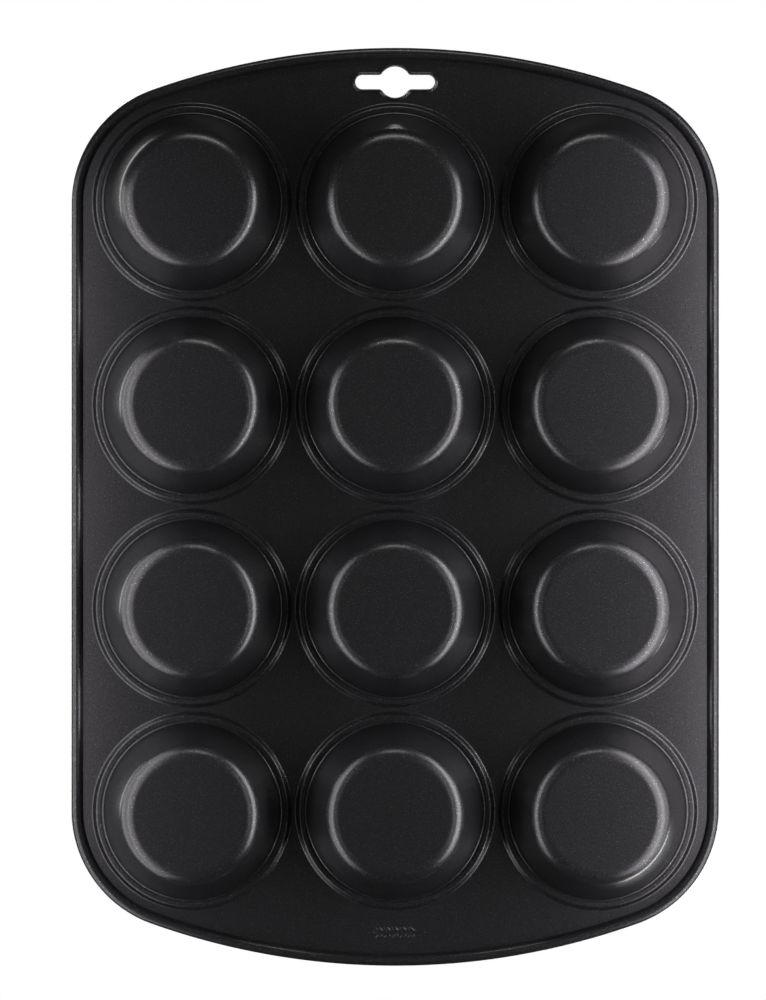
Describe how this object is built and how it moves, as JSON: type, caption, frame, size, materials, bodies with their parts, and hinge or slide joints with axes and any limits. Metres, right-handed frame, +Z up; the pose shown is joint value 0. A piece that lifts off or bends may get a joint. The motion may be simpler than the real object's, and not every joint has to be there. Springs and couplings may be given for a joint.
{
  "type": "muffin tin",
  "caption": "Coated steel muffin tin: round tapered cups in rows, set in a flat plate with rounded corners, bowed ends, a wired rolled edge and a hanging slot.",
  "frame": {"origin": "middle of the tin in plan, at the underside of the cup floors, which is what the tin stands on", "axes": "+Z up out of the cup mouths, +Y along the long side towards the end with the hanging slot, +X across"},
  "size_m": [0.268, 0.38, 0.0305],
  "materials": {
    "coated_steel": "black non-stick coating, satin, fine grain",
    "steel_wire": "drawn wire, bare"
  },
  "bodies": {
    "root": {"top_plate": "coated_steel", "rim_wire": "steel_wire", "cup_row1_left": "coated_steel", "cup_row1_middle": "coated_steel", "cup_row1_right": "coated_steel", "cup_row2_left": "coated_steel", "cup_row2_middle": "coated_steel", "cup_row2_right": "coated_steel", "cup_row3_left": "coated_steel", "cup_row3_middle": "coated_steel", "cup_row3_right": "coated_steel", "cup_row4_left": "coated_steel", "cup_row4_middle": "coated_steel", "cup_row4_right": "coated_steel"}
  },
  "joints": []
}
